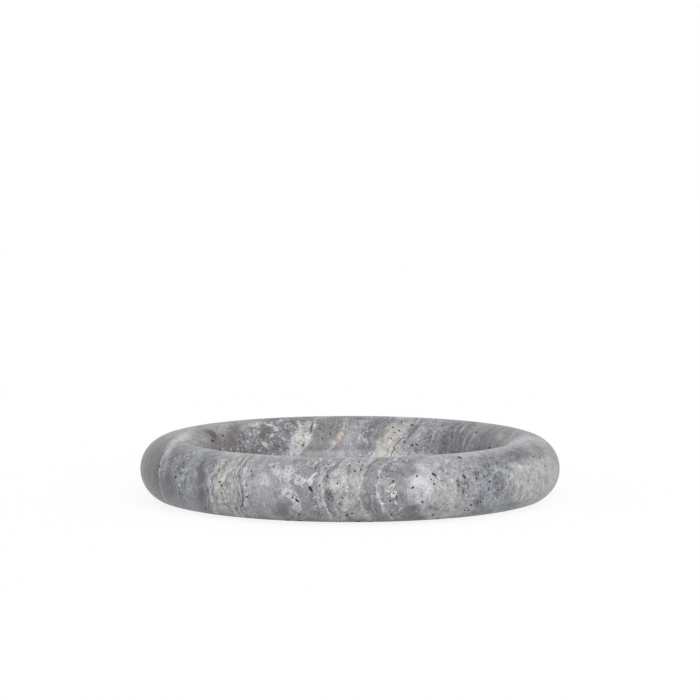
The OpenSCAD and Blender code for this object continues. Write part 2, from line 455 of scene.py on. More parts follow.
# Masses lie in the beds: cloudy lumps of another tone, nests of crystals and bare patches. A few are
# painted light: a pale patch for the sheen on the far left of the rim's top, two dark strips of painted
# shade along the far rim's top edge, and painted shade that deepens the dark left end. Each is the pixel of
# its middle, its half width and half height in millimetres, its lean in degrees, its tone, how soft its edge
# is, how strong it is, and its shares of crystals, streaks and specks. The last ones lie uppermost.
MASSES = (
    # the left end's charcoal and lead masses are the stone's dark tone, deepened as painted shade on that
    # end
    (147, 462, 5, 17, 0, "charcoal", 0.8, 0.5, (0, 1, 0.4)),
    (152, 486, 4, 10, 0, "lead", 0.8, 0.5, (0, 1, 0.4)),
    (166, 482, 2.5, 13, 0, "lead", 0.7, 0.7, (0, 0.5, 0.6)),
    (181, 468, 8, 14, 5, "steel", 0.7, 0.8, (0.3, 0.6, 1)),
    (186, 490, 7, 9, -15, "steel", 0.7, 0.6, (0.3, 0.9, 0.6)),
    (182, 467, 2.2, 5.5, 10, "slate", 0.7, 0.6, (0.3, 0.2, 1)),
    (202.5, 470, 3.9, 6.6, 5, "lead", 0.15, 1, (0, 0.1, 0)),
    (200, 487, 4, 3, 0, "ash", 0.5, 0.7, (0, 0.5, 0.3)),
    (203, 497, 4.6, 7, -20, "lead", 0.6, 0.7, (0, 0.3, 0.1)),
    (197, 452, 4, 9, 70, "ash", 0.8, 0.6, (0.1, 0.8, 0.1)),
    (211.5, 460, 4.6, 10, 32, "ash", 0.3, 1, (0.1, 0.9, 0.2)),
    (208, 508, 3.6, 6, -35, "slate", 0.4, 0.9, (0, 0.4, 0.1)),
    (221, 502, 8, 9, -10, "sand", 0.7, 0.85, (0.2, 0.5, 0.9)),
    (220, 484, 6, 9, -10, "cream", 0.8, 0.7, (0.1, 0.3, 0.8)),
    (247.5, 497, 1.9, 2.2, 0, "slate", 0.3, 0.8, (0, 0, 0)),
    (247, 509.5, 1.6, 1.6, 0, "slate", 0.4, 0.7, (0, 0, 0)),
    (250, 513, 1.7, 1.3, 0, "slate", 0.4, 0.7, (0, 0, 0)),
    (249.5, 474.5, 0.7, 2.2, 40, "snow", 0.3, 0.8, (0, 0, 0)),
    (260.5, 486, 0.9, 4.2, 25, "chalk", 0.4, 0.8, (0.2, 0, 0)),
    (262, 482, 4.8, 6.5, 10, "chalk", 0.8, 0.7, (0.3, 0.1, 0.2)),
    (251, 489, 2.6, 7, 0, "dove", 0.5, 0.7, (0.5, 0.6, 0.1)),
    (262, 509, 3.6, 9, 90, "dove", 0.7, 0.5, (0.1, 0.2, 0.1)),
    (265, 461, 8, 3.2, 0, "dove", 0.8, 0.6, (0.2, 0.3, 0.1)),
    (275, 469, 4.2, 5.2, -20, "ash", 0.5, 0.8, (1, 0.1, 0.5)),
    (280.5, 476, 4.2, 6, -35, "dove", 0.6, 0.85, (1, 0.1, 0.2)),
    (289.5, 470.5, 4.4, 6, 10, "dove", 0.5, 0.8, (1, 0, 0.5)),
    (299.5, 479.5, 4.8, 4.2, 30, "dove", 0.5, 0.8, (1, 0, 0.4)),
    (310.5, 481.5, 2, 3.2, 20, "chalk", 0.6, 0.8, (0.9, 0, 0)),
    (312, 476.5, 0.9, 4.2, 50, "snow", 0.3, 0.85, (0.3, 0, 0)),
    (316, 462.8, 0.8, 2.6, 50, "snow", 0.3, 0.8, (0.3, 0, 0)),
    (308.5, 462.5, 1, 1.3, 0, "snow", 0.3, 0.7, (0.3, 0, 0)),
    (321, 459.8, 0.8, 1.2, 0, "snow", 0.3, 0.7, (0.3, 0, 0)),
    (303, 466, 6, 4, 0, "ash", 0.6, 0.6, (0.8, 0, 0.9)),
    (287, 492.5, 4.4, 3.8, 0, "dove", 0.5, 0.85, (1, 0, 0.3)),
    (293, 497, 3.8, 5.4, -30, "dove", 0.4, 0.8, (1, 0, 0.4)),
    (297.5, 506, 3.8, 5.6, -25, "dove", 0.4, 0.8, (1, 0, 0.4)),
    (285, 487, 6, 3.6, 0, "dove", 0.7, 0.6, (0.6, 0.1, 0.3)),
    (281.5, 512, 6.4, 5.4, 0, "lead", 0.8, 0.8, (0, 0.1, 0)),
    (274, 499, 5, 4, 0, "dove", 0.8, 0.5, (0.1, 0.2, 0.1)),
    (307, 499, 4, 9, 0, "ash", 0.7, 0.7, (0.2, 0.2, 0.3)),
    (321, 490, 3.2, 13, 0, "dove", 0.6, 0.5, (0.1, 1, 0.3)),
    (328, 492, 2.6, 3.2, 0, "olive", 0.9, 0.7, (0.2, 0, 1)),
    (330, 503, 2.4, 8, 0, "slate", 0.9, 0.6, (0.1, 0.4, 0.9)),
    (327.8, 476.5, 1.3, 1.8, 0, "charcoal", 0.6, 0.6, (0, 0, 0.9)),
    (345, 478, 7, 7, 0, "mist", 0.6, 0.7, (0.2, 0.1, 0.5)),
    (348, 497, 8, 11, 0, "mist", 0.7, 0.6, (0.2, 0.2, 0.7)),
    (341, 504, 1.2, 2.6, 0, "mushroom", 0.6, 0.7, (0, 0, 0.6)),
    (328, 466, 6, 5, 0, "ash", 0.8, 0.6, (0.5, 0.3, 0.9)),
    (364, 489, 2, 10, 5, "pearl", 0.6, 0.6, (0.1, 1, 0)),
    (371, 482, 3.8, 15, 5, "lilac", 0.7, 0.85, (0, 1, 0.4)),
    (386, 486, 3.6, 15, 0, "clay", 0.7, 0.8, (0.6, 0.2, 1)),
    (394.4, 493.8, 2.3, 2.6, 30, "chalk", 0.2, 0.95, (0.8, 0, 0)),
    (395.5, 502.7, 1.2, 1.3, 0, "chalk", 0.25, 0.8, (0, 0, 0)),
    (400.7, 509.7, 1.3, 2.3, 40, "snow", 0.2, 0.8, (0, 0, 0)),
    (396.2, 509.3, 1.8, 2.4, 0, "slate", 0.2, 0.85, (0, 0, 0)),
    (408.5, 512, 5, 8, 90, "slate", 0.6, 0.9, (0.2, 0.1, 0.4)),
    (400, 482, 4.4, 13, 0, "clay", 0.6, 0.9, (0, 0.2, 0.4)),
    (396, 462, 4, 5, 0, "ash", 0.6, 0.5, (0.2, 0.4, 0.9)),
    (418, 488, 9.5, 9.5, 0, "chalk", 0.7, 0.75, (0, 0.1, 0.2)),
    (419, 467, 6, 3.4, 0, "pearl", 0.8, 0.8, (0.1, 0.1, 0.3)),
    (421, 483, 6, 6, 0, "snow", 0.9, 0.12, (0.1, 0, 0.3)),
    (419, 467.5, 1, 3.4, 25, "chalk", 0.6, 0.7, (0.3, 0, 0)),
    (424, 461, 3, 7, 90, "dove", 0.8, 0.5, (0.2, 0.3, 0.4)),
    (440, 507, 5, 10, 90, "dove", 0.8, 0.8, (0.1, 0.2, 0.8)),
    (448, 494, 7, 9, 0, "sand", 0.8, 0.8, (0.1, 0.1, 0.6)),
    (445, 476, 6, 6, 0, "dove", 0.8, 0.6, (0.3, 0.2, 0.6)),
    (458.8, 485, 1.4, 6, 0, "slate", 0.6, 0.8, (0, 0.3, 0.9)),
    (463, 491, 1.1, 2.8, -20, "slate", 0.6, 0.6, (0, 0.3, 0.9)),
    (453, 462, 9, 5, 0, "ash", 0.9, 0.5, (0.2, 0.3, 0.7)),
    (472, 492, 6, 6.5, 0, "dove", 0.8, 0.5, (0.5, 0.3, 0.9)),
    (487, 463, 8, 7, 30, "slate", 0.8, 0.35, (0.2, 0.4, 1)),
    (498, 478, 3.6, 6.5, 8, "denim", 0.8, 0.85, (0.25, 0.2, 1)),
    (493, 490, 6, 7, 0, "denim", 0.9, 0.5, (0.3, 0.4, 1)),
    (505, 457, 4, 9, 70, "slate", 0.8, 0.6, (0, 0.6, 0.8)),
    (524, 451, 4.8, 15, 80, "charcoal", 0.8, 0.9, (0.1, 0.6, 1)),
    (529, 480, 16, 15, 0, "pearl", 0.25, 0.95, (0, 0.1, 0.6)),
    (529, 477, 11, 10, 0, "cream", 0.9, 0.45, (0, 0.1, 0.4)),
    (524, 462.5, 2.2, 3.6, 90, "mushroom", 0.8, 0.5, (0, 0.2, 0.6)),
    (533, 451, 2.8, 9, -72, "slate", 0.7, 0.7, (0, 0.7, 0.7)),
    (513, 504.5, 2, 6, 70, "lead", 0.7, 0.8, (0, 0.3, 0.5)),
    (553, 470, 4, 12, 0, "pearl", 0.9, 0.6, (0, 0.4, 0.1)),
    # painted highlight: a pale chalk patch for the soft sheen on the far left of the rim's top
    (177, 440, 10, 22, 68, "chalk", 0.9, 0.8, (0.1, 0.5, 0.1)),
    (522, 444, 4, 16, -75, "steel", 0.9, 0.85, (0, 0.7, 0.4)),
    (226, 452, 3, 9, 80, "dove", 0.9, 0.5, (0.1, 0.6, 0.1)),
    (198.5, 427, 0.5, 3, -80, "olive", 0.7, 0.8, (0, 0.5, 0.3)),
    (196, 433, 6, 5, 0, "slate", 0.9, 0.6, (0, 0.6, 0.1)),
    (221, 440, 13, 7, 0, "umber", 0.8, 0.8, (0.1, 0.4, 0.6)),
    (234, 433, 5, 9, 15, "umber", 0.7, 0.9, (0, 0.4, 0.5)),
    (224, 426, 2.2, 5, 70, "dove", 0.7, 0.6, (0.4, 0.5, 0.1)),
    (210.8, 433.4, 2.1, 6.6, -52, "olive", 0.7, 0.9, (0, 0.9, 1)),
    (212.3, 434.6, 1.7, 4.8, -48, "pitch", 0.9, 1, (0, 0.5, 1)),
    (257, 423.5, 2.2, 6, 80, "dove", 0.7, 0.8, (1, 0, 0.4)),
    (248, 432, 3, 5, -20, "ash", 0.7, 0.5, (0.8, 0, 1)),
    (250, 441, 6, 5, 0, "slate", 0.6, 0.6, (0.7, 0, 1)),
    (265, 443.7, 2, 3.6, -40, "pearl", 0.8, 0.9, (1, 0, 0.3)),
    (256.5, 424.5, 2.6, 1.8, -20, "sand", 0.8, 0.7, (1, 0, 0.4)),
    (269.3, 424.8, 3, 0.9, 12, "chalk", 0.6, 0.9, (1, 0, 0.2)),
    (276.3, 428.7, 2.6, 2, -10, "mist", 0.9, 0.8, (1, 0, 0.6)),
    (271.8, 435.6, 1.5, 2.4, 60, "mist", 0.8, 0.7, (1, 0, 0.3)),
    (260, 436, 2, 5, -12, "blush", 0.7, 0.9, (0.3, 0, 0.5)),
    (267.6, 429.8, 3.2, 2.9, 35, "lead", 0.3, 1, (0, 0.1, 0)),
    (263.8, 433.6, 2.5, 4, 35, "lead", 0.4, 1, (0, 0.1, 0.1)),
    (266.5, 439.3, 2.2, 2.6, -30, "mushroom", 0.6, 0.9, (0, 0, 0.3)),
    (284, 437, 6, 9, 0, "ash", 0.8, 0.3, (0.55, 0, 1)),
    (288, 425.5, 4, 3, 0, "slate", 0.7, 0.6, (0.9, 0, 0.8)),
    (301, 438.5, 7.2, 9, 10, "dove", 0.35, 0.9, (1, 0, 0.9)),
    (304, 423, 4.4, 5.5, 30, "dove", 0.6, 0.7, (1, 0, 0.9)),
    (294, 449, 2.6, 6, 70, "pearl", 0.6, 0.7, (1, 0, 0.4)),
    (303, 430.2, 2.5, 3.4, 10, "blush", 0.7, 0.85, (0.5, 0, 1)),
    (301.5, 440, 2.4, 1.5, 0, "apricot", 0.9, 0.8, (0.4, 0, 0.5)),
    (298.5, 440.5, 1, 1.6, 0, "blush", 0.9, 0.8, (0.3, 0, 0.5)),
    (302.8, 445.2, 1.6, 1.6, 0, "rust", 0.7, 0.9, (0.2, 0, 0.4)),
    (303.5, 420.5, 3.2, 1.4, 0, "mushroom", 0.8, 0.8, (0.3, 0, 0.5)),
    (311.2, 427.5, 1, 5.2, 8, "charcoal", 0.5, 0.8, (0, 0.1, 0.4)),
    (323, 437, 6.5, 10, 0, "mushroom", 0.5, 0.5, (0, 0.2, 0.4)),
    (320, 422, 5, 3, 0, "slate", 0.7, 0.6, (0.1, 0.2, 0.6)),
    (340, 434.5, 3, 7.5, 25, "mist", 0.6, 0.5, (0.7, 0.3, 0.4)),
    (335.5, 442, 2, 5.5, 42, "cream", 0.6, 0.75, (0.6, 0.4, 0.2)),
    (330.5, 449, 1.3, 4.5, 45, "pearl", 0.6, 0.7, (0.5, 0.5, 0.2)),
    (346, 422, 2.4, 6, 10, "cream", 0.7, 0.6, (0.4, 0.3, 0.3)),
    (339.3, 439.8, 2.3, 3.8, 35, "blush", 0.7, 0.95, (0.3, 0, 0.4)),
    (340.6, 435.4, 2.2, 3.8, 25, "apricot", 0.8, 0.85, (0.4, 0, 0.5)),
    (341.5, 446, 2, 1.9, 0, "steel", 0.6, 0.7, (0, 0, 0)),
    (355, 435, 4.6, 9, 12, "dove", 0.7, 0.7, (0.2, 0.9, 0.1)),
    (374, 437, 3.4, 8.5, 5, "clay", 0.7, 0.5, (0.2, 0.3, 1)),
    (382, 437, 2.6, 9, 8, "clay", 1, 0.6, (0.1, 0.2, 1)),
    (390, 434, 4.8, 12, 5, "cream", 0.6, 1, (0.1, 0.2, 0.3)),
    (391.5, 444, 3, 6, 10, "snow", 0.8, 0.55, (0, 0.2, 0.2)),
    (428, 426, 4, 7, 60, "dove", 0.8, 0.5, (0.1, 0.4, 0.3)),
    (446, 439, 8, 7, 20, "slate", 0.8, 0.5, (0.1, 0.4, 1)),
    (463.5, 427.5, 0.9, 5, 45, "pearl", 0.5, 0.8, (0.1, 0.6, 0)),
    (476.5, 429, 0.7, 5.2, 40, "dove", 0.5, 0.7, (0, 0.5, 0)),
    (465, 441, 2.6, 6.5, 25, "slate", 0.7, 0.8, (0, 0.8, 0.3)),
    (484, 428, 3, 6, 70, "steel", 0.7, 0.7, (0, 0.3, 0.1)),
    (488.5, 438, 1.8, 6.6, 50, "slate", 0.5, 0.85, (0, 0.6, 0.3)),
    (500, 436, 3, 4, 45, "dove", 0.8, 0.7, (0, 0.5, 0.1)),
    # painted shade: two long lead strips darken the far rim's top edge against its sheen
    (290, 419.6, 44, 1.7, 0, "lead", 0.9, 0.4, (0.3, 0.2, 0.6)),
    (398, 420.2, 44, 1.7, 0, "lead", 0.9, 0.4, (0.1, 0.6, 0.4)),
    (416.5, 428, 1.6, 4.4, 45, "clay", 0.8, 0.8, (0, 0.5, 0.3)),
)
# Seams are old bed surfaces, thin lines of pale calcite or dark clay that wander through the
# stone. Each has its tone, half its thickness in millimetres, how strong it is, and the pixels
# that it passes, from the top down.
FRONT_SEAMS = (
    ("snow", 0.55, 0.8, (
        (178, 445.5), (168.5, 451), (163, 457.5), (160.5, 466), (159.2, 475), (159.5, 483), (161.5, 491),
        (164, 498), (167, 503))),
    ("lead", 0.9, 0.7, (
        (181, 447), (171, 453), (165.5, 460), (163, 468), (162, 476), (162.5, 484), (165, 493),
        (169, 502))),
    ("pearl", 0.5, 0.6, (
        (199, 449), (193, 457), (188, 468), (184, 478), (183, 490), (187, 500))),
    ("pearl", 0.5, 0.7, (
        (229, 456), (221, 466), (213, 474.5), (209, 479), (209.5, 483), (208, 490), (211, 497),
        (214, 504), (218, 510))),
    ("charcoal", 0.6, 0.7, (
        (231, 457), (224, 466), (216, 475), (212.5, 481), (213, 486), (212, 492), (215, 500),
        (221, 511))),
    ("charcoal", 0.6, 0.6, (
        (240, 457), (234.5, 466), (229, 473), (226, 480), (226.5, 487), (225, 494), (228, 503),
        (233, 513))),
    ("charcoal", 0.6, 0.7, (
        (245, 457), (239, 465), (235, 469), (233, 476), (234, 484), (237.5, 493), (238, 501), (236, 508),
        (240, 515))),
    ("soot", 0.7, 0.85, (
        (252, 456), (247, 461), (243.5, 466), (240, 470), (238.7, 476), (239.5, 481), (242, 487),
        (242.5, 500), (242, 504), (240.5, 510), (246, 516))),
    ("chalk", 0.8, 0.6, (
        (256, 457), (250.5, 463), (246.5, 469), (243, 475), (244, 482), (246, 489), (246.5, 500),
        (246, 507), (250, 515))),
    ("charcoal", 0.5, 0.5, (
        (262, 458), (256, 465), (251, 472), (249, 480), (251, 488), (251, 500), (253, 512))),
    ("chalk", 0.6, 0.6, (
        (340, 464), (337, 473), (334, 478), (331, 484), (332, 492), (333.5, 500), (334, 508),
        (336.5, 516))),
    ("chalk", 0.6, 0.6, (
        (371, 459), (368.5, 465), (365.5, 471), (362, 478), (361, 490), (360.5, 497), (362, 505))),
    ("charcoal", 0.5, 0.5, (
        (377, 459), (373, 467), (370, 476), (368.5, 487), (369, 498), (371, 508), (374, 515))),
    ("chalk", 0.6, 0.7, (
        (330, 466), (325, 473), (323.5, 480), (322.5, 487), (323, 496))),
    ("chalk", 0.5, 0.6, (
        (323, 470), (320.5, 477), (319.5, 485), (318.5, 495))),
    ("lead", 0.6, 0.7, (
        (334, 466), (328.5, 474), (326.5, 482), (325.5, 490), (326, 499))),
    ("chalk", 0.9, 0.7, (
        (392, 460), (384, 464.5), (380, 470), (378.2, 477), (378, 483), (377.5, 490), (379, 497),
        (380.5, 502), (383, 508))),
    ("slate", 0.5, 0.6, (
        (388, 459), (379.5, 465), (375.8, 471), (374.5, 480), (374, 490), (375.5, 498), (379, 509))),
)
BACK_SEAMS = (
    ("pearl", 0.8, 0.75, (
        (420.5, 418.6), (414.5, 426), (410.4, 431.7), (405.5, 435.6), (399.5, 438.8), (395, 442.5),
        (391.5, 449))),
    ("soot", 0.55, 0.8, (
        (422.5, 419), (416.8, 427), (412.8, 431.9), (408, 435.6), (402.4, 438.6), (397.7, 442),
        (393.5, 449))),
    ("soot", 0.5, 0.6, (
        (417.5, 418.4), (412, 426.6), (407.6, 432), (402.5, 435.8), (397, 438.8), (392.5, 443),
        (389, 449))),
    ("pearl", 0.6, 0.5, (
        (432, 420), (422, 430), (415, 438), (406, 446), (402, 451))),
    ("charcoal", 0.4, 0.5, (
        (347.5, 417), (347, 425), (344, 433), (338, 442), (332, 450))),
    ("soot", 0.5, 0.5, (
        (482, 424), (473, 433), (468, 441), (466, 447))),
    ("dove", 0.6, 0.6, (
        (486, 424), (477, 432), (472, 440), (470, 446))),
)
# Unseen masses: how many, their tones, the share of them on the dish floor, and the ranges of their places
# round the rim's section, sizes, leans, softness and strength
UNSEEN_MASSES = 20
UNSEEN_TONES = ("slate", "steel", "ash", "lilac", "dove", "sand", "pearl", "chalk", "cream", "mushroom")
UNSEEN_ON_FLOOR = 0.3
UNSEEN_SECTION = (math.radians(-65), math.radians(185))
UNSEEN_HALF_WIDTHS_MM = (1.5, 9.0)
UNSEEN_DRAWN_OUT = (1.0, 2.4)
UNSEEN_LEANS = (-0.4, 0.4)
UNSEEN_SOFTNESS = (0.25, 0.9)
UNSEEN_STRENGTHS = (0.5, 0.85)
BEDS_FROM_MM = -190.0
BEDS_TO_MM = 190.0
BED_TURN = math.atan(BED_SLANT)
# A mass reaches at least this share of its length into the stone
MASS_DEPTH_SHARE = 0.45
# Narrower masses are bent less and have finer ragged edges
SMALL_MASS_MM = 2.7
# White chips and the meshes of the net between crystals, from side to side
CHIP_MM = 1.6
NET_MM = 3.6
# How far up from the base the painted shade reaches
BASE_SHADE_MM = 4.5
# How far to either side of its middle a seam may wander
SEAM_WANDER_MM = 20.0
# How far noise bends the place in the stone, in millimetres from end to end: for beds, for seams and large
# masses, and for small masses
BENT_MM = (15.0, 8.0, 3.0)
# The front's beds turn into the back's over this depth, which a noise adds to
BACK_FROM_MM = 5.0
BACK_TO_MM = 55.0
BACK_WANDER_MM = 60.0
# Where a noise turns into a mark: its level with no share of such marks, how far a full share moves the
# level, how wide the soft edge is, and how strong the mark is
MARKS = {
    "lace": (0.735, -0.23, 0.06, 1.0), "chips": (1.0, -0.3, 0.04, 0.7), "gaps": (1.0, -0.26, 0.04, 1.0),
    "flecks": (0.695, -0.18, 0.05, 1.0), "specks": (0.31, 0.12, -0.04, 0.68),
}
# Fine bed lines: how far they are shifted, half of how far they lie apart and half their width, in
# millimetres, how strong they are, and their tone
BED_LINES = ((0.0, 6.3, 0.7, 0.35, "charcoal"), (3.7, 8.9, 0.8, 0.4, "chalk"))
# Noises in the stone, each with the size of its lumps in millimetres, how many finer sizes
# it adds and how strong they are
STONE_NOISES = {name: (1 / lump_mm, finer, strong) for name, lump_mm, finer, strong in (
    ("bends", 13.0, 5.0, 0.64), ("ragged edges", 5.0, 5.0, 0.75), ("fine ragged edges", 2.2, 4.0, 0.7),
    ("front into back", 40.0, 3.0, 0.55), ("broken seams", 9.0, 2.0, 0.55), ("uneven seams", 3.5, 3.0, 0.55),
    ("broken bed lines", 24.0, 2.0, 0.55), ("clouds", 19.0, 3.0, 0.55), ("flakes", 5.5, 6.0, 0.72),
    ("shades", 8.0, 6.0, 0.72), ("mottle", 7.0, 5.0, 0.98), ("lace", 3.8, 6.0, 0.82),
    ("flecks", 1.5, 3.0, 0.65), ("specks", 1.7, 3.0, 0.6), ("grain", 1.1, 2.0, 0.7),
)}
# Steps from one value to another are soft, without a line where they start and end
SOFT_STEP = {"interpolation_type": "SMOOTHSTEP"}
mass_random = np.random.default_rng(23)


def add(tree, kind, sockets=(), out=None, **settings):
    """Adds a node with its settings. Its open sockets take plain values or other nodes'
    outputs, in order from a list or by name from a dictionary. It returns the node's first open
    output, or the one that out names."""
    node = tree.nodes.new("ShaderNode" + kind)
    for name, value in settings.items():
        setattr(node, name, value)
    ready = [socket for socket in node.inputs if socket.enabled]
    if isinstance(sockets, dict):
        ready = [next(socket for socket in ready if socket.name == name) for name in sockets]
        sockets = sockets.values()
    for socket, value in zip(ready, sockets):
        if isinstance(value, bpy.types.NodeSocket):
            tree.links.new(value, socket)
        else:
            socket.default_value = value
    return next((socket for socket in node.outputs if socket.enabled and out in (None, socket.name)), None)


def new_material(name):
    """An empty node material, and its tree."""
    material = bpy.data.materials.new(name)
    material.use_nodes = True
    material.node_tree.nodes.clear()
    return material, material.node_tree


def bed_ramps(tree, place, beds, row):
    """Two ramps over the place across the beds: the beds' tones, and their shares of crystals, streaks
    and specks. Each bed stands where its column and row of the photograph lie on the stone."""
    columns = np.array([bed[0] for bed in beds])
    spots = on_the_rim(np.column_stack([columns, np.full(len(beds), row)]))
    stops = (across_beds(spots) * 1000 - BEDS_FROM_MM) / (BEDS_TO_MM - BEDS_FROM_MM)
    colours = ([TONES[bed[1]] for bed in beds], [(*bed[2:], 1.0) for bed in beds])
    ramps = []
    for row_of_colours in colours:
        output = add(tree, "ValToRGB", [place])
        ramp = output.node.color_ramp
        ramp.elements[0].position = stops[0]
        ramp.elements[1].position = stops[-1]
        ramp.elements[0].color = row_of_colours[0]
        ramp.elements[1].color = row_of_colours[-1]
        for stop, colour in zip(stops[1:-1], row_of_colours[1:-1]):
            ramp.elements.new(stop).color = colour
        ramps.append(output)
    return ramps


def seen_masses():
    """The photograph's masses as eggs in the stone. The two half axes of each, as the picture shows them,
    are carried onto the skin, and the oval that they span there gives the egg's width, length and turn."""
    eggs = []
    for column, row, half_width, half_height, lean, tone, soft, strength, shares in MASSES:
        spot = on_the_rim([(column, row)])
        normal = skin_normals(spot, spot)
        lean = math.radians(lean)
        tall = laid_on_skin(math.cos(lean) * view_up + math.sin(lean) * view_right, normal)
        broad = laid_on_skin(math.cos(lean) * view_right - math.sin(lean) * view_up, normal)
        oval = np.vstack([tall * half_height, broad * half_width]).T
        axes, halves, _ = np.linalg.svd(oval, full_matrices=False)
        turn = np.column_stack([axes[:, 1], normal[0], axes[:, 0]])
        turn[:, 0] *= np.sign(np.linalg.det(turn))
        size = (halves[1], max(halves[1], MASS_DEPTH_SHARE * halves[0]), halves[0])
        eggs.append((spot[0] * 1000, size, Matrix(turn).to_euler(), tone, soft, strength, shares))
    return eggs


def unseen_masses():
    """Masses of the same kinds, spread by chance where the photograph doesn't reach: over the
    dish floor, the inside of the near rim and the outside of the far rim. Those on the floor
    are drawn out along the beds."""
    eggs = []
    while len(eggs) < UNSEEN_MASSES:
        angle = mass_random.uniform(0, 2 * math.pi)
        on_floor = mass_random.random() < UNSEEN_ON_FLOOR
        section = mass_random.uniform(*UNSEEN_SECTION)
        half_width = mass_random.uniform(*UNSEEN_HALF_WIDTHS_MM)
        half_height = half_width * mass_random.uniform(*UNSEEN_DRAWN_OUT)
        lean = mass_random.uniform(*UNSEEN_LEANS)
        tone = UNSEEN_TONES[mass_random.integers(len(UNSEEN_TONES))]
        soft = mass_random.uniform(*UNSEEN_SOFTNESS)
        strength = mass_random.uniform(*UNSEEN_STRENGTHS)
        shares = tuple(mass_random.random(3) ** 1.5)
        inside = section > math.pi / 2
        if not on_floor and inside == (math.sin(angle) > 0.15):
            continue
        if on_floor:
            radius = cove_at_r * math.sqrt(mass_random.random())
            height = floor_z
            size = (half_width, half_height * 1.6, half_width)
            turned = (0.0, 0.0, BED_TURN)
        else:
            radius = ring_r + rim_r * math.cos(section)
            height = section_z + rim_r * math.sin(section)
            size = (half_width, max(half_width, MASS_DEPTH_SHARE * half_height), half_height)
            turned = (0.0, lean, angle + math.pi / 2)
        spot = np.array([radius * math.cos(angle), radius * math.sin(angle), height]) * 1000
        eggs.append((spot, size, turned, tone, soft, strength, shares))
    return eggs


